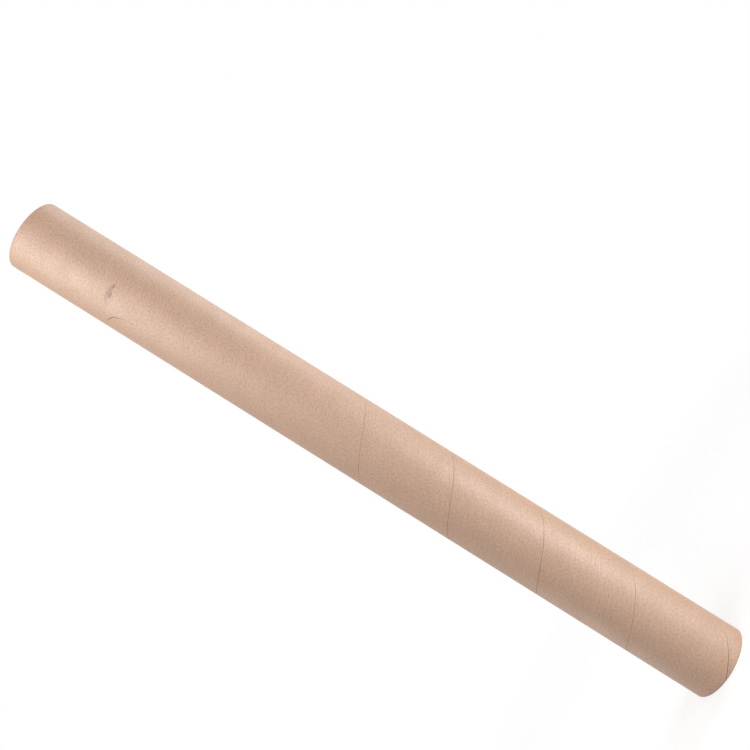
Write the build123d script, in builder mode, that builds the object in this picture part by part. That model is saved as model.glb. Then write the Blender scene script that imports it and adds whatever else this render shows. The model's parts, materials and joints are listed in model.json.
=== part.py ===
from build123d import *
from math import atan, ceil, cos, pi, radians, sin, tan
import os

# Mailing tube: one spiral-wound paperboard wall, open and cut square at both ends.
# It stands on an end. The origin is the middle of the lower end, and +Z runs up the tube.

# Driving dimensions, in millimetres and degrees
bore_diameter = 50.8  # 2 in, the size that the tube is sold by
tube_length = 609.6  # 24 in, cut length
ply_thickness = 0.396875  # 1/64 in board
ply_count = 8  # strips of board wound over each other, for a 1/8 in wall
outer_rim_radius = 0.5  # the knife leaves the outer corner of each end a little rounded
inner_rim_radius = 0.3  # the inner corner stays crisper

winding_angle = 23.06  # how steeply the strips climb, measured round the outside
outer_seam_height = 4.0  # where the outer seam first crosses the front, above the lower end
outer_seam_gap = 0.45  # the two edges of the outer strip almost meet
seam_stagger = 38.0  # strips never meet in one place: the inner seam runs this much higher
inner_seam_gap = 0.6  # the edges of the inner strip are kept less close

# Sizes that follow from them
wall_thickness = ply_count * ply_thickness
bore_radius = bore_diameter / 2
outer_radius = bore_radius + wall_thickness
# All the strips advance together as they are wound, so both seams share one pitch.
seam_pitch = 2 * pi * outer_radius * tan(radians(winding_angle))


def turn_of_seam(radius, gap):
    """One turn of the slit between a strip's edges, one ply deep, climbing from +X round to +X."""
    climb = atan(seam_pitch / (2 * pi * radius))
    with BuildPart() as turn:
        with BuildLine() as path:
            Helix(seam_pitch, seam_pitch, radius)
        across_strip = Plane(origin=(radius, 0, 0), x_dir=(1, 0, 0), z_dir=(0, cos(climb), sin(climb)))
        with BuildSketch(across_strip):
            Rectangle(2 * ply_thickness, gap)
        sweep(path=path.line, is_frenet=True)
    return turn.part


def starts_of_turns(front_height):
    """Where the turns start on +X, a quarter turn past the front (-Y), so that they pass both ends."""
    height_on_x = front_height + seam_pitch / 4
    lowest_start = height_on_x - (ceil(height_on_x / seam_pitch) + 1) * seam_pitch
    turns = ceil((tube_length - lowest_start) / seam_pitch) + 1
    return [(0, 0, lowest_start + turn * seam_pitch) for turn in range(turns)]


outer_turn = turn_of_seam(outer_radius, outer_seam_gap)
inner_turn = turn_of_seam(bore_radius, inner_seam_gap)

with BuildPart() as tube:
    # The wall is turned from its long thin section, whose corners are the rims of the two ends.
    with BuildSketch(Plane.XZ) as wall_section:
        with Locations((bore_radius + wall_thickness / 2, tube_length / 2)):
            Rectangle(wall_thickness, tube_length)
        inner_corners, outer_corners = wall_section.vertices().group_by(Axis.X)
        fillet(outer_corners, outer_rim_radius)
        fillet(inner_corners, inner_rim_radius)
    revolve(axis=Axis.Z)
    # The outermost strip's seam winds up the outside, and the innermost strip's up the bore.
    with Locations(*starts_of_turns(outer_seam_height)):
        add(outer_turn, mode=Mode.SUBTRACT)
    with Locations(*starts_of_turns(outer_seam_height + seam_stagger)):
        add(inner_turn, mode=Mode.SUBTRACT)

tube.part.label = "tube"

os.makedirs("parts", exist_ok=True)
export_step(tube.part, "parts/tube.step")

print(f"tube: {2 * outer_radius:.2f} mm outside, {bore_diameter:.2f} mm bore, {tube_length:.1f} mm long")
print(f"seam pitch {seam_pitch:.2f} mm, outer strip {seam_pitch * cos(radians(winding_angle)):.2f} mm wide")
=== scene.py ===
# %% [markdown]
# # A cardboard mailing tube
#
# The part is one long tube of brown board. A machine winds it from glued strips of kraft board round a
# steel rod, so that a fine seam climbs the outside like a stripe, and a saw cuts it to length. Both ends
# are open and show the layers of the wall.
#
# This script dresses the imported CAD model. All lengths are in metres, in the model's own frame: the
# origin is the middle of the lower end, +Z runs up the tube, and -Y is the side that the camera sees.

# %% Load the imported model
import json
from math import atan, atan2, ceil, cos, exp, floor, pi, radians, sin, sqrt, tan

import bmesh
import bpy
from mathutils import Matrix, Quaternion, Vector, noise


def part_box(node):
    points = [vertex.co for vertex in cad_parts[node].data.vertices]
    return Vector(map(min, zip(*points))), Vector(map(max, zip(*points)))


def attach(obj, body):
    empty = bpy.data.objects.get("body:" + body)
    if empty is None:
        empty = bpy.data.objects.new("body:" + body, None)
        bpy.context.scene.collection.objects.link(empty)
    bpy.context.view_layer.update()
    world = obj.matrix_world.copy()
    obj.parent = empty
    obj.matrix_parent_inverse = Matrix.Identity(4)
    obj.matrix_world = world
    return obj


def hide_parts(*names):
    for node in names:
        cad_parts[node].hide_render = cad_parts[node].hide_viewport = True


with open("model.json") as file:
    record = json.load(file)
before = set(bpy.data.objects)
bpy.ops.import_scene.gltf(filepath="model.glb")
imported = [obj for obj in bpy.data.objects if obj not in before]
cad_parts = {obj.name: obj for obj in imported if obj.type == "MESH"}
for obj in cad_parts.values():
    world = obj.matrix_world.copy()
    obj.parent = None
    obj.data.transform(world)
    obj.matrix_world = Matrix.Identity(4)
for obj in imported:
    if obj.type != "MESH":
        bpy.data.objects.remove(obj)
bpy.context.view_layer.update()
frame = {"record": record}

mm = 0.001

# %% [markdown]
# ## The camera
#
# The photo shows the tube slanting across a square picture, almost side on. The tube stands upright
# here, so the camera is what leans: it looks at a point a little to the right of the tube, and is then
# rolled about its own line of sight. A rolled camera keeps the model upright on its floor, where tilting
# the tube itself would leave it hanging in the air.

# %% Place the camera
camera_spot = Vector((0, -683.9 * mm, 292.1 * mm))
look_at = Vector((47.41 * mm, 0, 328.07 * mm))
camera_roll = radians(-58.257)

photo_camera = bpy.data.objects.new("photo_camera", bpy.data.cameras.new("photo_camera"))
photo_camera.data.lens = 43.2
photo_camera.data.sensor_width = 36
bpy.context.collection.objects.link(photo_camera)
level_gaze = (look_at - camera_spot).to_track_quat("-Z", "Y")
photo_camera.rotation_mode = "QUATERNION"
photo_camera.rotation_quaternion = level_gaze @ Quaternion((0, 0, 1), camera_roll)
photo_camera.location = camera_spot
bpy.context.scene.camera = photo_camera
print("camera stands", round((look_at - camera_spot).length, 3), "m from the tube")

# %% [markdown]
# ## How the tube is wound
#
# Unroll the tube and each strip is a straight band that climbs at one angle. Everything on the surface
# follows that band: the seam where its edges meet, the direction of the paper's fibres and the faint
# lines of the layers beneath. So the winding comes first, as a few sizes and a few small functions, and
# both the mesh and the materials use them.
#
# Angles are measured from the front (-Y) towards +X. A *turning* is an angle that goes on past a whole
# turn, and so says where along the seam a place is.

# %% Sizes of the winding
box_low, box_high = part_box("tube")
tube_length = box_high.z - box_low.z
outer_radius = min(box_high.x - box_low.x, box_high.y - box_low.y) / 2
mounts = {mount["name"]: mount for mount in frame["record"]["mounts"]}
bore_radius = mounts["bore"]["dims"]["r_mm"] * mm

ply_count = 8
ply = (mounts["outside"]["dims"]["r_mm"] * mm - bore_radius) / ply_count
winding_angle = radians(23.06)
pitch = 2 * pi * mounts["outside"]["dims"]["r_mm"] * mm * tan(winding_angle)
outer_seam = 4.0 * mm      # height at which the outer seam first crosses the front
bore_seam = outer_seam + 38.0 * mm
strip_width = pitch * cos(winding_angle)
print(f"pitch {pitch / mm:.2f} mm, strip {strip_width / mm:.2f} mm wide, ply {ply / mm:.3f} mm thick")


def on_wall(angle, radius, height):
    """The point at an angle from the front."""
    return Vector((radius * sin(angle), -radius * cos(angle), height))


def angle_of(point):
    return atan2(point.x, -point.y)


# %% [markdown]
# ## The seam's cross-section
#
# The two edges of the outer strip almost touch, which leaves a slit one ply deep. On the real tube it is
# widest near the lower end and nearly shut higher up. Painting a line would look flat in the low side
# light, so the slit is real geometry: a few rows of points across it, close together, with the rest of
# the strip in wide rows.
#
# The layer under the outer one has a seam of its own, 4 mm higher, and the next one has its seam 6 mm
# lower. Glue and pressure print them through as a shallow channel and a low ridge.

# %% Rows of points across one strip
skin_allowance = 0.05 * mm  # the calm surface lies this much inside the CAD model, so ridges have room


def drift(turning, seed):
    """A slow random value from -1 to 1 along the seam."""
    return noise.noise(Vector((turning * 1.3, seed * 7.1, 0.5)))


# How far the slit stands open where each of its turns crosses the front, from the lower end up.
openness = (0.35, 0.42, 1.0, 0.70, 0.30, 0.02, 0, 0, 0, 0)


def pressed_shut(turning):
    """1 on the lower half, then falling to a third where the seam is pressed shut higher up."""
    return 1 - 0.67 * min(max(turning / (2 * pi) - 4.2, 0), 1)


def outer_gap(turning):
    """Half the width of the outer slit: open at the lower end, then closing."""
    turns = min(max(turning / (2 * pi), 0), len(openness) - 1.001)
    here = openness[floor(turns)] + (openness[floor(turns) + 1] - openness[floor(turns)]) * (turns % 1)
    open_end = 0.20 * mm * min(max((0.80 - turning) / 0.70, 0), 1)**2
    opened = here * 0.080 * mm * (1 + 0.4 * drift(turning, 1))
    return 0.017 * mm * pressed_shut(turning) + opened + open_end


def outer_rows(turning):
    """(distance across the strip from its lower seam, depth below the skin) of each row of points."""
    lower, upper = outer_gap(turning), outer_gap(turning + 2 * pi)
    lip = 0.02 * mm * (1 + drift(turning, 2)) * pressed_shut(turning)
    edge, next_edge = (0.10 * mm * pressed_shut(turning + more) for more in (0, 2 * pi))
    channel = 0.05 * mm * max(0, 0.7 + drift(turning, 3))
    ridge = 0.03 * mm * max(0, drift(turning, 4) + turning / (14 * pi) - 0.2)
    rows = [(0, ply), (lower * 0.85, ply), (lower, edge), (lower + 0.10 * mm, -lip),
            (lower + 0.45 * mm, -lip / 2), (lower + 1.5 * mm, 0)]
    rows += [(across * mm, channel * depth) for across, depth in
             ((3.4, 0), (3.8, 0.4), (4.0, 1), (4.2, 0.4), (4.6, 0))]
    wide_from, wide_to, wide_rows = 7.5 * mm, strip_width - 9.0 * mm, 11
    rows += [(wide_from + (wide_to - wide_from) * i / wide_rows, 0) for i in range(wide_rows + 1)]
    rows += [(strip_width - across * mm, -ridge * height) for across, height in
             ((6.3, 0), (5.95, 0.6), (5.6, 1), (5.25, 0.6), (4.9, 0))]
    rows += [(strip_width - upper - across * mm, depth) for across, depth in
             ((1.5, 0), (0.45, 0), (0.10, next_edge / 5), (0, next_edge))]
    return rows + [(strip_width - upper * 0.85, ply)]


def bore_rows(turning):
    """The same for the innermost strip, whose edges are kept less close."""
    half = 0.22 * mm + 0.06 * mm * drift(turning, 5)
    after = 0.22 * mm + 0.06 * mm * drift(turning + 2 * pi, 5)
    depth = 0.28 * mm
    rows = [(0, depth), (half - 0.02 * mm, depth), (half, 0.06 * mm), (half + 0.3 * mm, 0)]
    width, wide_rows = pitch * cos(atan(pitch / (2 * pi * bore_radius))), 11
    rows += [(3 * mm + (width - 6 * mm) * i / wide_rows, 0) for i in range(wide_rows + 1)]
    return rows + [(width - after - 0.3 * mm, 0), (width - after, 0.06 * mm),
                   (width - after + 0.02 * mm, depth)]


print(len(outer_rows(0)), "rows across the outer strip,", len(bore_rows(0)), "across the inner one")

# %% [markdown]
# ## A skin that follows the winding
#
# An ordinary cylinder has its rows level, and a slanted seam would cut across them in steps. Here the
# rows climb with the seam instead. Each turn's last column joins the next turn's first one, so the whole
# skin is one spiral ribbon with no join. It is made longer than the tube and then sliced level at both
# ends, which is also how the real tube gets its ends.

# %% Wind a skin and cut it to length
def wound_skin(mesh, radius, inward, columns, rows_at, front_height):
    """Adds a spiral skin whose depths go inward from the outside, or outward from the bore."""
    climb = atan(pitch / (2 * pi * radius))
    depth_layer = mesh.verts.layers.float["seam_depth"]
    first = floor(-front_height / pitch - 0.5)
    last = ceil((tube_length - front_height) / pitch + 0.5) - 1
    per_turn = len(rows_at(0))
    grid = [[None] * columns for _ in range(per_turn * (last - first + 1))]
    for turn in range(first, last + 1):
        for column in range(columns):
            angle = 2 * pi * column / columns - pi
            turning = angle + 2 * pi * turn
            base = front_height + pitch * turning / (2 * pi)
            for row, (across, depth) in enumerate(rows_at(turning)):
                height = base + across / cos(climb)
                place = Vector((sin(angle) * 2.2, cos(angle) * 2.2, height * 45))
                wave = 0.022 * mm * noise.noise(place) + 0.008 * mm * noise.noise(place * 3.1)
                if inward:
                    reach = radius - max(skin_allowance + depth + wave, 0.002 * mm)
                else:
                    reach = radius + depth + abs(wave)
                point = mesh.verts.new(on_wall(angle, reach, height))
                point[depth_layer] = max(0, depth / ply)
                grid[(turn - first) * per_turn + row][column] = point
    for row in range(len(grid) - 1):
        for column in range(columns):
            right = row if column + 1 < columns else row + per_turn
            if right + 1 < len(grid):
                next_column = (column + 1) % columns
                mesh.faces.new((grid[row][column], grid[right][next_column],
                                grid[right + 1][next_column], grid[row + 1][column]))


def slice_level(mesh, height, keep=None):
    """Cuts the mesh at a height. keep is "above", "below" or None for a cut that removes nothing."""
    everything = mesh.verts[:] + mesh.edges[:] + mesh.faces[:]
    bmesh.ops.bisect_plane(mesh, geom=everything, dist=0.012 * mm, plane_co=(0, 0, height),
                           plane_no=(0, 0, 1), clear_inner=keep == "above", clear_outer=keep == "below")
    for point in mesh.verts:
        if abs(point.co.z - height) < 0.0125 * mm:
            point.co.z = height


# %% [markdown]
# The saw leaves the corner of each end a little rounded: 0.5 mm outside and 0.3 mm in the bore. A bevel
# tool would struggle with the slit that runs out through the corner, so the skin is sliced level a few
# more times close to each end, and those rings are pulled in along a quarter circle.

# %% Round the corners of the ends
def end_distance(height):
    """How far a height is from the nearer end."""
    return min(height, tube_length - height)


def round_corners(mesh, radius, inward, corner):
    """Slices rings near both ends and pulls them along a quarter circle."""
    for share in (1, 0.5, 0.134):
        slice_level(mesh, corner * share)
        slice_level(mesh, tube_length - corner * share)
    for point in mesh.verts:
        away = end_distance(point.co.z)
        if away < corner:
            inset = corner - sqrt(max(0, corner**2 - (corner - away)**2))
            reach = Vector((point.co.x, point.co.y)).length
            wanted = radius - skin_allowance - inset if inward else radius + inset
            reach = min(reach, wanted) if inward else max(reach, wanted)
            point.co = on_wall(angle_of(point.co), reach, point.co.z)


def finished_skin(radius, inward, columns, rows_at, front_height, corner, kind):
    """A skin as a mesh of its own, cut, rounded and marked with its material's number."""
    mesh = bmesh.new()
    mesh.verts.layers.float.new("seam_depth")
    wound_skin(mesh, radius, inward, columns, rows_at, front_height)
    slice_level(mesh, 0, keep="above")
    slice_level(mesh, tube_length, keep="below")
    round_corners(mesh, radius, inward, corner)
    for face in mesh.faces:
        face.material_index = kind
    print(("outside", "bore")[kind], "skin has", len(mesh.faces), "faces")
    return mesh


OUTSIDE, BORE, CUT = 0, 1, 2
outer_corner, bore_corner = 0.5 * mm, 0.3 * mm
outer_skin = finished_skin(outer_radius, True, 184, outer_rows, outer_seam, outer_corner, OUTSIDE)
bore_skin = finished_skin(bore_radius, False, 96, bore_rows, bore_seam, bore_corner, BORE)

# %% [markdown]
# ## The cut ends
#
# A cut end shows the eight plies as rings, with a thin line of glue between them. The saw tears soft
# board a little, so no ply ends quite level. Each ply also has its own seam somewhere, which shows as a
# small notch. The ends are rings of points: one down each glue line and three across each ply, with
# extra points where a notch begins and ends.

# %% Where each ply's seam meets an end
# Heights above the outer seam. Plies 7 and 6 are read from the faint lines beside it, ply 1 carries the
# bore's seam, and the rest lie evenly between.
seam_offsets = {8: 0, 7: 4.3 * mm, 6: -6.1 * mm, 1: bore_seam - outer_seam - pitch}
for number in (5, 4, 3, 2):
    seam_offsets[number] = seam_offsets[6] + (seam_offsets[1] - seam_offsets[6]) * (6 - number) / 5
notch_half_width = 0.5 * mm


def wrapped(angle):
    return (angle + pi) % (2 * pi) - pi


def notch_angle(number, height):
    """The angle at which a ply's seam crosses a height."""
    return wrapped((height - outer_seam - seam_offsets[number]) * 2 * pi / pitch)


def end_rings():
    """(radius, ply number or 0 for glue, share of the way across the ply) of each ring of an end."""
    rings = [(bore_radius + 0.34 * mm, 1, 0.9)]
    for number in range(2, ply_count):
        inner = bore_radius + (number - 1) * ply
        rings += [(inner, 0, 0), (inner + 0.07 * mm, number, 0.2), (inner + 0.5 * ply, number, 0.5)]
        if number < ply_count - 1:
            rings.append((inner + ply - 0.07 * mm, number, 0.8))
    rings[-1] = (outer_radius - skin_allowance - outer_corner - 0.03 * mm, ply_count - 1, 0.5)
    return rings


def end_depth(angle, radius, number, share, height):
    """How far the saw left this place below the end's level."""
    if number == 0:
        return 0.10 * mm + 0.02 * mm * noise.noise(Vector((angle * 9, radius / mm, height)))
    ragged = noise.noise(Vector((angle * 14, number * 3.7, height * 5)))
    fuzz = noise.noise(Vector((angle * 60, number * 5.3 + share * 4, height)))
    depth = 0.035 * mm * (1 + ragged) + 0.018 * mm * (1 + fuzz)
    if abs(wrapped(angle - notch_angle(number, height))) < notch_half_width / radius:
        depth += 0.55 * mm
    return depth


print("seams of plies 1 to 8 cross the lower end at",
      [round(notch_angle(number, 0) * 180 / pi) for number in range(1, 9)], "degrees")

# %% [markdown]
# The end's outermost ring has other angles than the skin's edge, because the seam's rows run out there.
# A small helper walks round both loops at once and fills the space between them with triangles, always
# taking the next point that is nearer in angle.

# %% Close both ends
def stitch(mesh, loop_a, loop_b, kind):
    """Fills the band between two closed loops, each sorted by angle."""
    angles = [[angle_of(p.co) for p in loop] for loop in (loop_a, loop_b)]
    at = [0, 0]
    loops = (loop_a, loop_b)

    def next_angle(side):
        step = at[side] + 1
        return angles[side][step % len(loops[side])] + 2 * pi * (step // len(loops[side]))

    while at[0] < len(loop_a) or at[1] < len(loop_b):
        if at[1] >= len(loop_b) or (at[0] < len(loop_a) and next_angle(0) <= next_angle(1)):
            side = 0
        else:
            side = 1
        corner_a, corner_b = (loops[s][at[s] % len(loops[s])] for s in (0, 1))
        at[side] += 1
        corner_c = loops[side][at[side] % len(loops[side])]
        mesh.faces.new((corner_a, corner_b, corner_c)).material_index = kind


def edge_loop(mesh, height, near_radius):
    """The skin's points at an end, sorted by angle."""
    found = [p for p in mesh.verts if abs(p.co.z - height) < 1e-7
             and abs(Vector((p.co.x, p.co.y)).length - near_radius) < 0.8 * mm]
    return sorted(found, key=lambda p: angle_of(p.co))


def close_end(mesh, height, columns):
    """Adds one cut end between the outer skin's edge and the bore's."""
    inward = 1 if height == 0 else -1
    spots = {2 * pi * column / columns - pi for column in range(columns)}
    for number in range(2, ply_count):
        middle, half = notch_angle(number, height), notch_half_width / (bore_radius + number * ply)
        spots |= {wrapped(middle + half * edge) for edge in (-1.15, -0.98, 0.98, 1.15)}
    spots = sorted(spots)
    rings = []
    for radius, number, share in end_rings():
        depths = [end_depth(angle, radius, number, share, height) for angle in spots]
        rings.append([mesh.verts.new(on_wall(angle, radius, height + inward * depth))
                      for angle, depth in zip(spots, depths)])
    for inner, outer in zip(rings, rings[1:]):
        for i in range(len(spots)):
            j = (i + 1) % len(spots)
            mesh.faces.new((inner[i], inner[j], outer[j], outer[i])).material_index = CUT
    stitch(mesh, edge_loop(mesh, height, outer_radius), rings[-1], CUT)
    stitch(mesh, rings[0], edge_loop(mesh, height, bore_radius), CUT)


def merged(*meshes):
    """One mesh from several."""
    whole = bmesh.new()
    for mesh in meshes:
        holder = bpy.data.meshes.new("holder")
        mesh.to_mesh(holder)
        mesh.free()
        whole.from_mesh(holder)
        bpy.data.meshes.remove(holder)
    return whole


wall = merged(outer_skin, bore_skin)
for end in (0, tube_length):
    close_end(wall, end, 176)
print("wall has", len(wall.faces), "faces and", sum(e.is_boundary for e in wall.edges), "open edges")

# %% [markdown]
# ## The crease
#
# Near the upper end, something hard has pressed a thin curved crease into the board. It is darkest at its
# start, runs round a bend, stops for a moment and goes on fainter. The wide rows are too coarse for it,
# so the faces along its path are divided again and again until they are small enough to bend.

# %% Press the crease into the wall
# Angle in degrees, height in mm and strength along the crease.
crease_path = ((-59.5, 519.8, 0.7), (-56.0, 519.2, 0.95), (-50.0, 517.7, 1.3), (-45.2, 515.3, 1.2),
               (-43.1, 512.8, 1.0), (-40.9, 510.3, 0.7), (-38.3, 506.7, 0.6), (-37.7, 505.0, 0.15),
               (-36.9, 503.4, 0.15), (-36.8, 500.5, 0.65), (-37.3, 496.9, 0.4))


def unrolled(angle, height):
    return Vector((angle * outer_radius, height))


crease_line = [(unrolled(radians(angle), height * mm), strength)
               for angle, height, strength in crease_path]
crease_height, crease_half_span = 508 * mm, 16 * mm


def to_crease(point):
    """(distance to the crease, strength there) of a point of the wall."""
    here = unrolled(angle_of(point), point.z)
    best = (1.0, 0.0)
    for (start, strong), (end, weak) in zip(crease_line, crease_line[1:]):
        along = min(1, max(0, (here - start).dot(end - start) / (end - start).length_squared))
        best = min(best, ((here - start.lerp(end, along)).length, strong + (weak - strong) * along))
    return best


def near_crease(point, reach):
    return (abs(point.z - crease_height) < crease_half_span and point.y < 0 and point.x < 0
            and Vector((point.x, point.y)).length > outer_radius - mm and to_crease(point)[0] < reach)


for reach, longest in ((3.5, 2.6), (2.6, 1.3), (1.8, 0.7), (1.2, 0.42), (0.9, 0.28)):
    long_edges = [e for e in wall.edges if e.calc_length() > longest * mm
                  and near_crease((e.verts[0].co + e.verts[1].co) / 2, reach * mm)]
    bmesh.ops.subdivide_edges(wall, edges=long_edges, cuts=1, use_grid_fill=True)
bmesh.ops.triangulate(wall, faces=[f for f in wall.faces if len(f.verts) > 4])

crease_layer = wall.verts.layers.float.new("crease")
for point in wall.verts:
    if near_crease(point.co, 2.0 * mm):
        away, strength = to_crease(point.co)
        cut = min(1, strength) * exp(-(away / ((0.22 + 0.24 * strength) * mm))**2)
        lips = strength * exp(-((away - 0.85 * mm) / (0.3 * mm))**2)
        reach = Vector((point.co.x, point.co.y)).length - 0.22 * mm * cut + 0.03 * mm * lips
        point.co = on_wall(angle_of(point.co), min(reach, outer_radius - 0.002 * mm), point.co.z)
        point[crease_layer] = cut
print("wall has", len(wall.faces), "faces with the crease")

# %% [markdown]
# ## Maps for the materials
#
# Two maps go on the mesh. *strip* unrolls the winding: it counts metres along and across the strip, so
# fibres run along it and break at the seam, as they do on real board. *OFBake* lays the whole wall out
# flat once, for baked textures: outside and bore in three lengths each, and both ends at twice the
# scale.

# %% Lay out the maps
def strip_place(angle, radius, height, front_height, turn):
    """Metres along and across the strip, which is unrolled through this many whole turns."""
    climb = atan(pitch / (2 * pi * radius))
    run = radius * (angle + 2 * pi * turn)
    rise = height - front_height
    return (run * cos(climb) + rise * sin(climb), rise * cos(climb) - run * sin(climb))


map_gap = 8 * mm
map_width = 3 * (2 * pi * outer_radius + map_gap)


def bake_place(kind, angle, radius, height, third, top):
    """The place on the OFBake map, from 0 to 1."""
    third_length = tube_length / 3
    if kind == CUT:
        middle = map_gap + 2 * outer_radius + (4 * outer_radius + map_gap if top else 0)
        x, y = middle + 2 * radius * sin(angle), map_gap / 2 + 2 * outer_radius - 2 * radius * cos(angle)
    else:
        around = outer_radius if kind == OUTSIDE else bore_radius
        x = third * (2 * pi * around + map_gap) + map_gap / 2 + around * (angle + pi)
        y = height - third * third_length + 4 * outer_radius + 1.5 * map_gap
        y += third_length + map_gap if kind == BORE else 0
    return (x / map_width, y / map_width)


strip_map = wall.loops.layers.uv.new("strip")
bake_map = wall.loops.layers.uv.new("OFBake")
for face in wall.faces:
    middle = face.calc_center_median()
    kind, mid_angle = face.material_index, angle_of(middle)
    radius = outer_radius if kind == OUTSIDE else bore_radius
    front_height = outer_seam if kind == OUTSIDE else bore_seam
    turn = floor((middle.z - front_height) / pitch - mid_angle / (2 * pi))
    third = min(2, floor(3 * middle.z / tube_length))
    for loop in face.loops:
        point = loop.vert.co
        angle = mid_angle + wrapped(angle_of(point) - mid_angle)
        reach = Vector((point.x, point.y)).length
        if kind == CUT:
            loop[strip_map].uv = (angle * reach, reach)
        else:
            loop[strip_map].uv = strip_place(angle, radius, point.z, front_height, turn)
        loop[bake_map].uv = bake_place(kind, angle, reach, point.z, third, middle.z > tube_length / 2)

bmesh.ops.recalc_face_normals(wall, faces=wall.faces)
tube_mesh = bpy.data.meshes.new("tube_wall")
wall.to_mesh(tube_mesh)
wall.free()
tube_mesh.polygons.foreach_set("use_smooth", [True] * len(tube_mesh.polygons))
tube_mesh.set_sharp_from_angle(angle=radians(32))
tube_wall = bpy.data.objects.new("tube_wall", tube_mesh)
bpy.context.collection.objects.link(tube_wall)
tube_mesh.calc_loop_triangles()
print("tube_wall has", len(tube_mesh.loop_triangles), "triangles")

# %% [markdown]
# ## Small helpers for materials
#
# A material is a network of nodes. Two helpers keep the cells short: one adds a node and fills its
# sockets with numbers or links, the other starts a node group with named inputs and outputs.

# %% Helpers for nodes
def put(tree, kind, sockets=None, **settings):
    """Adds a node. Each socket gets a value, or a link where the value is another node's output."""
    node = tree.nodes.new(kind)
    for name, value in settings.items():
        setattr(node, name, value)
    for name, value in (sockets or {}).items():
        if isinstance(value, bpy.types.NodeSocket):
            tree.links.new(value, node.inputs[name])
        else:
            node.inputs[name].default_value = value
    return node


def math(tree, operation, *values, clamp=False):
    node = put(tree, "ShaderNodeMath", dict(enumerate(values)), operation=operation, use_clamp=clamp)
    return node.outputs[0]


def blend_colour(tree, share, first, second, mode="MIX"):
    node = put(tree, "ShaderNodeMix", data_type="RGBA", blend_type=mode)
    for socket, value in ((0, share), (6, first), (7, second)):
        if isinstance(value, bpy.types.NodeSocket):
            tree.links.new(value, node.inputs[socket])
        else:
            node.inputs[socket].default_value = value
    return node.outputs[2]


def span(tree, value, low, high, to_low=0.0, to_high=1.0):
    """Stretches a range of values to another, and stops at its ends."""
    return put(tree, "ShaderNodeMapRange", {"Value": value, "From Min": low, "From Max": high,
                                            "To Min": to_low, "To Max": to_high}).outputs[0]


def new_group(name, inputs, outputs):
    """An empty node group. inputs are (name, kind, default), outputs are names of numbers."""
    tree = bpy.data.node_groups.new(name, "ShaderNodeTree")
    for label, kind, default in inputs:
        socket = tree.interface.new_socket(label, in_out="INPUT", socket_type=kind)
        if default is not None:
            socket.default_value = default
    for label in outputs:
        tree.interface.new_socket(label, in_out="OUTPUT", socket_type="NodeSocketFloat")
    return tree, tree.nodes.new("NodeGroupInput").outputs, tree.nodes.new("NodeGroupOutput").inputs


def use_group(tree, group, sockets):
    return put(tree, "ShaderNodeGroup", sockets, node_tree=group).outputs


def rgb(red, green, blue):
    """A colour in linear light."""
    return (red, green, blue, 1)


# %% [markdown]
# ## What board looks like
#
# Kraft board is pressed from wood fibres. Held to the light it is cloudy, because the fibres clump while
# it forms. Close up it has short fibres that lie mostly along the strip, and here and there a dark speck
# of bark. All three surfaces of the tube need this, at different strengths, so it is a node group that
# works in metres along and across the strip.

# %% Node group: board fibres
board_fibres, given, result = new_group(
    "board_fibres", (("Place", "NodeSocketVector", None), ("Fibre Length", "NodeSocketFloat", 1.0)),
    ("Clouds", "Mottle", "Streaks", "Fibres", "Specks", "Height"))


def noise_at(tree, place, scale, detail=2.0, rough=0.5, **extra):
    return put(tree, "ShaderNodeTexNoise", {"Vector": place, "Scale": scale, "Detail": detail,
                                            "Roughness": rough, **extra}).outputs["Fac"]


def stretched(tree, place, along, across, turn=0.0):
    """The place turned and scaled, so that a texture comes out long in one direction."""
    turned = put(tree, "ShaderNodeMapping", {"Vector": place, "Rotation": (0, 0, turn)})
    return put(tree, "ShaderNodeMapping", {"Vector": turned.outputs[0],
                                           "Scale": (along, across, 1)}).outputs[0]


clouds = noise_at(board_fibres, given["Place"], 62.0, 3.0, 0.55)
mottle = noise_at(board_fibres, stretched(board_fibres, given["Place"], 0.85, 1), 700.0, 4.0, 0.75)
streaks = noise_at(board_fibres, stretched(board_fibres, given["Place"], 0.10, 1.6), 560.0, 2.0, 0.6)
fibre_size = math(board_fibres, "DIVIDE", 420.0, given["Fibre Length"])
lengthwise = noise_at(board_fibres, stretched(board_fibres, given["Place"], 0.45, 3.2, 0.12), fibre_size)
crosswise = noise_at(board_fibres, stretched(board_fibres, given["Place"], 0.6, 2.8, -0.75), fibre_size)
fibres = math(board_fibres, "MAXIMUM", lengthwise, crosswise)
cells = put(board_fibres, "ShaderNodeTexVoronoi", {"Vector": given["Place"], "Scale": 380.0})
chosen = math(board_fibres, "GREATER_THAN", put(board_fibres, "ShaderNodeSeparateColor",
                                                 {0: cells.outputs["Color"]}).outputs[0], 0.8)
specks = math(board_fibres, "MULTIPLY",
              span(board_fibres, cells.outputs["Distance"], 0.16, 0.08), chosen)
relief = math(board_fibres, "ADD", math(board_fibres, "MULTIPLY", fibres, 0.6),
              math(board_fibres, "MULTIPLY", mottle, 0.4))
for label, value in (("Clouds", clouds), ("Mottle", mottle), ("Streaks", streaks), ("Fibres", fibres),
                     ("Specks", specks), ("Height", relief)):
    board_fibres.links.new(value, result[label])
print("group", board_fibres.name, "has", len(board_fibres.nodes), "nodes")

# %% [markdown]
# Handling rubs the corners of the ends first. Where they are rubbed, the board turns greyer and a little
# fuzzy. The mask comes from the height above either end, broken up by noise, so it needs no painting.

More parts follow.
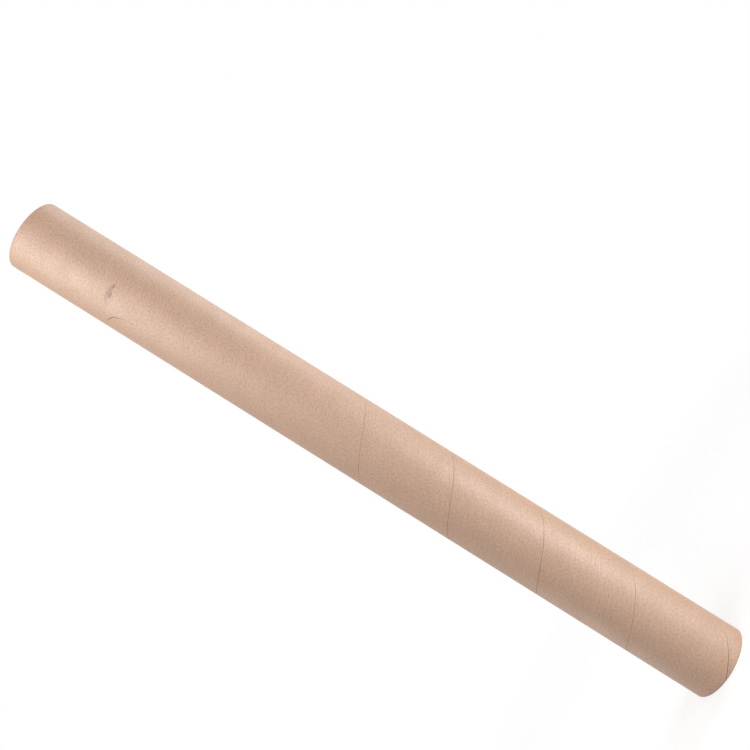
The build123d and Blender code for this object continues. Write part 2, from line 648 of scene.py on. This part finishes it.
# %% Node group: rubbed corners
rubbed_corners, given, result = new_group(
    "rubbed_corners", (("Height Up Tube", "NodeSocketFloat", 0.0), ("Place", "NodeSocketVector", None),
                       ("Reach", "NodeSocketFloat", 0.0012)), ("Rubbed",))
from_top = math(rubbed_corners, "SUBTRACT", tube_length, given["Height Up Tube"])
to_end = math(rubbed_corners, "MINIMUM", given["Height Up Tube"], from_top)
patchy = span(rubbed_corners, noise_at(rubbed_corners, given["Place"], 260.0, 3.0), 0.3, 0.7, 0.35, 1.3)
edge_reach = math(rubbed_corners, "MULTIPLY", given["Reach"], patchy)
share_of_reach = math(rubbed_corners, "DIVIDE", to_end, edge_reach)
rubbed = math(rubbed_corners, "SUBTRACT", 1.0, share_of_reach, clamp=True)
rubbed_corners.links.new(rubbed, result["Rubbed"])

# %% [markdown]
# A mark such as a scuff or a dark speck is a short stroke on the unrolled surface. The group measures how
# far a place is from the line between two points and turns that into a soft mask, so a few numbers place
# each mark where the photo shows it.

# %% Node group: one stroke
stroke, given, result = new_group(
    "stroke", (("Place", "NodeSocketVector", None), ("From", "NodeSocketVector", None),
               ("To", "NodeSocketVector", None), ("Half Width", "NodeSocketFloat", 0.001),
               ("Softness", "NodeSocketFloat", 0.001)), ("Mask",))


def vector_math(tree, operation, *values, output=0):
    node = put(tree, "ShaderNodeVectorMath", operation=operation)
    for i, value in enumerate(values):
        tree.links.new(value, node.inputs[i])
    return node.outputs[output]


from_start = vector_math(stroke, "SUBTRACT", given["Place"], given["From"])
whole = vector_math(stroke, "SUBTRACT", given["To"], given["From"])
along = math(stroke, "DIVIDE", vector_math(stroke, "DOT_PRODUCT", from_start, whole, output=1),
             vector_math(stroke, "DOT_PRODUCT", whole, whole, output=1), clamp=True)
nearest = put(stroke, "ShaderNodeVectorMath", {0: whole, "Scale": along}, operation="SCALE").outputs[0]
away = vector_math(stroke, "LENGTH", vector_math(stroke, "SUBTRACT", from_start, nearest), output=1)
outer_limit = math(stroke, "ADD", given["Half Width"], given["Softness"])
stroke_mask = put(stroke, "ShaderNodeMapRange", {"Value": away, "From Min": outer_limit,
                                                 "From Max": given["Half Width"]},
                  interpolation_type="SMOOTHSTEP").outputs[0]
stroke.links.new(stroke_mask, result["Mask"])


# %% [markdown]
# ## The outside
#
# The outer strip is smooth kraft board: warm brown, matt, but pressed enough to give a broad pale sheen
# where a soft lamp reflects. The clouds mix two browns, the fine mottle and the streaks darken them
# towards a third, and fibres and specks lie on top. The slit is painted darker and browner the deeper it
# lies: painted shade in the recess, added to the shade that its real walls cast.

# %% Outside: colour of the board
def start_material(name):
    """A material with an empty surface, and the shader that it ends in."""
    material = bpy.data.materials.new(name)
    material.use_nodes = True
    tree = material.node_tree
    tree.nodes.clear()
    shader = tree.nodes.new("ShaderNodeBsdfPrincipled")
    surface = tree.nodes.new("ShaderNodeOutputMaterial")
    tree.links.new(shader.outputs[0], surface.inputs["Surface"])
    return material, tree, shader


def strip_coordinates(tree):
    return put(tree, "ShaderNodeUVMap", uv_map="strip").outputs[0]


def height_up_tube(tree):
    place = put(tree, "ShaderNodeTexCoord").outputs["Object"]
    return put(tree, "ShaderNodeSeparateXYZ", {0: place}).outputs["Z"]


outside, tree, shader = start_material("outside_board")
strip = strip_coordinates(tree)
board = use_group(tree, board_fibres, {"Place": strip, "Fibre Length": 1.0})
pale_brown, mid_brown = rgb(0.612, 0.371, 0.241), rgb(0.569, 0.343, 0.221)
deep_brown = rgb(0.385, 0.226, 0.137)
cloudy = span(tree, board["Clouds"], 0.35, 0.65)
colour = blend_colour(tree, cloudy, mid_brown, pale_brown)
mottled = span(tree, board["Mottle"], 0.58, 0.34, 0.0, 0.96)
colour = blend_colour(tree, mottled, colour, deep_brown)
streaked = span(tree, board["Streaks"], 0.60, 0.38, 0.0, 0.22)
colour = blend_colour(tree, streaked, colour, deep_brown)
fibre_dark = span(tree, board["Fibres"], 0.62, 0.80, 0.0, 0.45)
colour = blend_colour(tree, fibre_dark, colour, rgb(0.36, 0.215, 0.138))
speck_dark = math(tree, "MULTIPLY", board["Specks"], 0.75)
colour = blend_colour(tree, speck_dark, colour, rgb(0.24, 0.14, 0.09))

# %% [markdown]
# Now the marks. The scuff is a grey smear of two darker dabs with a hazy tail, broken up by the fibres
# that it rubbed against. A thin pale line runs beside it along a low ridge, where a lower layer's edge
# lifts the skin: a painted highlight. A single dark speck sits lower down. The crease has its own value
# on the mesh, written where the wall was pressed in, and the colour is painted darker along it as
# painted shade.

# %% Outside: marks and seam
place = put(tree, "ShaderNodeTexCoord").outputs["Object"]
xyz = put(tree, "ShaderNodeSeparateXYZ", {0: place}).outputs
front_angle = math(tree, "ARCTAN2", xyz["X"], math(tree, "MULTIPLY", xyz["Y"], -1.0))
unrolled_place = put(tree, "ShaderNodeCombineXYZ",
                     {"X": math(tree, "MULTIPLY", front_angle, outer_radius), "Y": xyz["Z"]}).outputs[0]


def mark(start, end, half_width, softness):
    """The mask of a stroke between two (angle in degrees, height in mm) places."""
    ends = [(*unrolled(radians(angle), height * mm), 0) for angle, height in (start, end)]
    return use_group(tree, stroke, {"Place": unrolled_place, "From": ends[0], "To": ends[1],
                                    "Half Width": half_width * mm, "Softness": softness * mm})["Mask"]


broken = span(tree, board["Mottle"], 0.30, 0.62, 0.65, 1.0)
haze = math(tree, "MULTIPLY", mark((-4, 526.3), (-18, 526.3), 0.7, 1.5), 0.50)
upper_dab = math(tree, "MULTIPLY", mark((0.5, 525.2), (-3.4, 525.4), 0.45, 0.6), 0.95)
middle = math(tree, "MULTIPLY", mark((-3.4, 525.6), (-12.5, 525.0), 0.25, 1.0), 0.45)
lower_dab = math(tree, "MULTIPLY", mark((-12.3, 524.2), (-18, 524.4), 0.45, 0.6), 0.95)
side = math(tree, "MULTIPLY", mark((-12, 528.2), (-25, 526.6), 0.3, 0.8), 0.30)
tail = math(tree, "MULTIPLY", mark((-20, 525.9), (-31, 525.0), 0.2, 0.9), 0.26)
scuff = haze
for dab in (upper_dab, middle, lower_dab, side, tail):
    scuff = math(tree, "MAXIMUM", scuff, dab)
scuff = math(tree, "MULTIPLY", scuff, broken)
colour = blend_colour(tree, scuff, colour, rgb(0.235, 0.142, 0.122))
# A painted highlight: a pale line along the low ridge beside the scuff.
painted_ridge_highlight = math(tree, "MULTIPLY", mark((39, 541.2), (-13, 530.1), 0.1, 0.5), 0.22)
colour = blend_colour(tree, painted_ridge_highlight, colour, rgb(0.70, 0.50, 0.385))
spot = math(tree, "MULTIPLY", mark((13.3, 473.5), (13.6, 473.3), 0.2, 0.5), 0.7)
colour = blend_colour(tree, spot, colour, rgb(0.16, 0.09, 0.06))

# Painted shade: the colour darkens with the crease's depth.
painted_crease_shade = put(tree, "ShaderNodeAttribute", attribute_name="crease").outputs["Fac"]
colour = blend_colour(tree, math(tree, "MULTIPLY", painted_crease_shade, 0.95), colour, rgb(0.13, 0.052, 0.024))
# Painted shade: the slit's colour darkens with its depth below the skin.
depth = put(tree, "ShaderNodeAttribute", attribute_name="seam_depth").outputs["Fac"]
painted_slit_shade = math(tree, "MULTIPLY", depth, 0.8, clamp=True)
colour = blend_colour(tree, painted_slit_shade, colour, rgb(0.25, 0.145, 0.09))
worn = use_group(tree, rubbed_corners, {"Height Up Tube": xyz["Z"], "Place": strip, "Reach": 0.0013})
colour = blend_colour(tree, math(tree, "MULTIPLY", worn["Rubbed"], 0.6), colour, rgb(0.35, 0.275, 0.23))
tree.links.new(colour, shader.inputs["Base Color"])

# %% [markdown]
# Roughness varies with the clouds, because denser board is pressed glossier. Scuffed and rubbed places
# are dull. The bump is only as deep as fibres are, a few hundredths of a millimetre.

# %% Outside: sheen and fibre relief
rough = span(tree, board["Clouds"], 0.3, 0.7, 0.61, 0.55)
rough = math(tree, "ADD", rough, span(tree, board["Mottle"], 0.35, 0.65, 0.05, -0.03))
rough = math(tree, "ADD", rough, math(tree, "MULTIPLY", scuff, 0.2))
rough = math(tree, "ADD", rough, math(tree, "MULTIPLY", worn["Rubbed"], 0.3), clamp=True)
tree.links.new(rough, shader.inputs["Roughness"])
relief = put(tree, "ShaderNodeBump", {"Height": board["Height"], "Strength": 0.35,
                                      "Distance": 0.06 * mm})
tree.links.new(relief.outputs[0], shader.inputs["Normal"])
shader.inputs["IOR"].default_value = 1.8
shader.inputs["Specular IOR Level"].default_value = 0.78
tube_mesh.materials.append(outside)

# %% [markdown]
# ## The bore
#
# The inner strip is a plainer board: duller, browner and with coarser fibres. A little glue has crept out
# along its seam and dried darker.

# %% Bore material
bore, tree, shader = start_material("bore_board")
strip = strip_coordinates(tree)
board = use_group(tree, board_fibres, {"Place": strip, "Fibre Length": 1.5})
colour = blend_colour(tree, span(tree, board["Clouds"], 0.35, 0.65), rgb(0.47, 0.29, 0.19),
                      rgb(0.55, 0.35, 0.235))
mottled = span(tree, board["Mottle"], 0.58, 0.36, 0.0, 0.8)
colour = blend_colour(tree, mottled, colour, rgb(0.42, 0.26, 0.17))
fibre_dark = span(tree, board["Fibres"], 0.6, 0.8, 0.0, 0.5)
colour = blend_colour(tree, fibre_dark, colour, rgb(0.34, 0.205, 0.13))
speck_dark = math(tree, "MULTIPLY", board["Specks"], 0.6)
colour = blend_colour(tree, speck_dark, colour, rgb(0.17, 0.10, 0.065))
across_strip = put(tree, "ShaderNodeSeparateXYZ", {0: strip}).outputs["Y"]
glue_reach = span(tree, noise_at(tree, strip, 90.0), 0.35, 0.65, 0.0002, 0.0022)
glue = math(tree, "SUBTRACT", 1.0, math(tree, "DIVIDE", across_strip, glue_reach), clamp=True)
colour = blend_colour(tree, math(tree, "MULTIPLY", glue, 0.5), colour, rgb(0.30, 0.18, 0.10))
# Painted shade: the bore's slit is painted darker with its depth.
depth = put(tree, "ShaderNodeAttribute", attribute_name="seam_depth").outputs["Fac"]
painted_slit_shade = math(tree, "MULTIPLY", depth, 1.1, clamp=True)
colour = blend_colour(tree, painted_slit_shade, colour, rgb(0.20, 0.12, 0.075))
worn = use_group(tree, rubbed_corners, {"Height Up Tube": height_up_tube(tree), "Place": strip,
                                        "Reach": 0.0016})
colour = blend_colour(tree, math(tree, "MULTIPLY", worn["Rubbed"], 0.5), colour, rgb(0.46, 0.36, 0.28))
tree.links.new(colour, shader.inputs["Base Color"])
rough = math(tree, "ADD", span(tree, board["Clouds"], 0.3, 0.7, 0.74, 0.64),
             math(tree, "MULTIPLY", glue, -0.2), clamp=True)
tree.links.new(rough, shader.inputs["Roughness"])
relief = put(tree, "ShaderNodeBump", {"Height": board["Height"], "Strength": 0.5, "Distance": 0.1 * mm})
tree.links.new(relief.outputs[0], shader.inputs["Normal"])
tube_mesh.materials.append(bore)

# %% [markdown]
# ## The cut ends
#
# A sawn end shows the inside of the board: paler and greyer than its pressed face, fuzzy, with thin dark
# glue lines. The map's second coordinate on an end is the distance from the tube's middle, so one wave
# through it finds every glue line.

# %% Cut-end material
cut_end, tree, shader = start_material("cut_board")
strip = strip_coordinates(tree)
board = use_group(tree, board_fibres, {"Place": strip, "Fibre Length": 0.6})
from_middle = put(tree, "ShaderNodeSeparateXYZ", {0: strip}).outputs["Y"]
ply_place = math(tree, "DIVIDE", math(tree, "SUBTRACT", from_middle, bore_radius), ply)
to_glue = math(tree, "PINGPONG", ply_place, 0.5)
glue_line = span(tree, to_glue, 0.16, 0.04)
ply_number = math(tree, "FLOOR", ply_place)
ply_tint = put(tree, "ShaderNodeTexWhiteNoise", {"W": ply_number}, noise_dimensions="1D").outputs[0]
colour = blend_colour(tree, ply_tint, rgb(0.58, 0.40, 0.285), rgb(0.69, 0.50, 0.37))
mottled = span(tree, board["Mottle"], 0.62, 0.35, 0.0, 0.8)
colour = blend_colour(tree, mottled, colour, rgb(0.46, 0.31, 0.215))
fuzzy = span(tree, board["Fibres"], 0.6, 0.78, 0.0, 0.6)
colour = blend_colour(tree, fuzzy, colour, rgb(0.66, 0.50, 0.38))
colour = blend_colour(tree, math(tree, "MULTIPLY", glue_line, 0.75), colour, rgb(0.24, 0.15, 0.10))
greyed = span(tree, board["Clouds"], 0.35, 0.6, 0.20, 0.0)
colour = blend_colour(tree, greyed, colour, rgb(0.42, 0.34, 0.28))
tree.links.new(colour, shader.inputs["Base Color"])
rough = span(tree, board["Mottle"], 0.3, 0.7, 0.92, 0.8)
tree.links.new(rough, shader.inputs["Roughness"])
torn = math(tree, "ADD", board["Height"], math(tree, "MULTIPLY", glue_line, -0.5))
relief = put(tree, "ShaderNodeBump", {"Height": torn, "Strength": 0.7, "Distance": 0.12 * mm})
tree.links.new(relief.outputs[0], shader.inputs["Normal"])
tube_mesh.materials.append(cut_end)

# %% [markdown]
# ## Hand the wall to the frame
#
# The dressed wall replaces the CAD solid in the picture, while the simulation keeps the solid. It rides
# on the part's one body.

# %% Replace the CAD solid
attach(tube_wall, "root")
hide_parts("tube")

# %% [markdown]
# ## The studio
#
# The photo's ground is plain white. The floor here is a large pale disc with a soft shadow. Around the
# tube it is lit as any surface is, and only rays that come straight from the camera, or by way of a
# reflection, see it lifted to white. Further out it is plain white, as is the world, so no horizon shows.

# %% Floor
def white_to_camera(tree):
    """1 for rays that see the background directly or in a reflection, else 0."""
    rays = put(tree, "ShaderNodeLightPath").outputs
    seen = math(tree, "MAXIMUM", rays["Is Camera Ray"], rays["Is Glossy Ray"])
    return math(tree, "MAXIMUM", seen, rays["Is Transmission Ray"])


floor_mesh = bpy.data.meshes.new("floor")
disc = bmesh.new()
bmesh.ops.create_circle(disc, cap_ends=True, radius=6.0, segments=96)
disc.to_mesh(floor_mesh)
disc.free()
studio_floor = bpy.data.objects.new("studio_floor", floor_mesh)
bpy.context.collection.objects.link(studio_floor)

paper = bpy.data.materials.new("studio_paper")
paper.use_nodes = True
tree = paper.node_tree
tree.nodes.clear()
position = put(tree, "ShaderNodeNewGeometry").outputs["Position"]
from_tube = put(tree, "ShaderNodeVectorMath", {0: position}, operation="LENGTH").outputs[1]
far = span(tree, from_tube, 0.20, 0.50)
matt = put(tree, "ShaderNodeBsdfDiffuse", {"Color": rgb(0.60, 0.60, 0.60)})
lift = put(tree, "ShaderNodeEmission", {"Color": rgb(1, 1, 1),
                                        "Strength": math(tree, "MULTIPLY", white_to_camera(tree), 0.54)})
lit = put(tree, "ShaderNodeAddShader", {0: matt.outputs[0], 1: lift.outputs[0]})
plain_white = put(tree, "ShaderNodeEmission", {"Color": rgb(1, 1, 1)})
share = math(tree, "MULTIPLY", far, white_to_camera(tree))
ground = put(tree, "ShaderNodeMixShader", {0: share, 1: lit.outputs[0], 2: plain_white.outputs[0]})
put(tree, "ShaderNodeOutputMaterial", {"Surface": ground.outputs[0]})
floor_mesh.materials.append(paper)

# %% [markdown]
# Two soft lamps light the tube from both sides, a little in front. The one on the left stands towards the
# upper end and the one on the right towards the lower end, so each leaves a broad pale sheen along its own
# side, and a browner band between them. Two rim lamps stand just behind: one on the right draws the narrow
# pale edge of the upper half, and a small one low on the left does the same for the lower end. A weak lamp
# behind keeps the far side from going dull, and the world adds an even fill.

# %% Lamps and world
def soft_lamp(name, spot, aim, width, height, watts):
    lamp = bpy.data.lights.new(name, "AREA")
    lamp.shape, lamp.size, lamp.size_y, lamp.energy = "RECTANGLE", width, height, watts
    holder = bpy.data.objects.new(name, lamp)
    holder.location = spot
    holder.rotation_mode = "QUATERNION"
    holder.rotation_quaternion = (Vector(aim) - Vector(spot)).to_track_quat("-Z", "Y")
    holder.visible_camera = False
    bpy.context.collection.objects.link(holder)


soft_lamp("left_lamp", (-0.32, -0.32, 0.73), (0, 0, 0.55), 0.65, 0.20, 2.4)
soft_lamp("right_lamp", (0.51, -0.36, 0.06), (0, 0, 0.08), 0.34, 0.12, 2.4)
soft_lamp("rim_lamp", (0.43, 0.13, 0.58), (0, 0, 0.55), 0.24, 0.49, 1.05)
soft_lamp("low_rim_lamp", (-0.24, 0.08, 0.04), (0, 0, 0.02), 0.12, 0.08, 0.05)
soft_lamp("back_lamp", (0, 1.2, 0.6), (0, 0, 0.3), 0.6, 0.6, 2.5)

studio = bpy.data.worlds.new("studio")
bpy.context.scene.world = studio
studio.use_nodes = True
tree = studio.node_tree
tree.nodes.clear()
seen_white = white_to_camera(tree)
fill = put(tree, "ShaderNodeBackground", {"Color": rgb(1, 1, 1), "Strength": 0.40})
backdrop = put(tree, "ShaderNodeBackground", {"Color": rgb(1, 1, 1), "Strength": 1.0})
chosen = put(tree, "ShaderNodeMixShader", {0: seen_white, 1: fill.outputs[0], 2: backdrop.outputs[0]})
put(tree, "ShaderNodeOutputWorld", {"Surface": chosen.outputs[0]})

bpy.context.scene.view_settings.view_transform = "Standard"
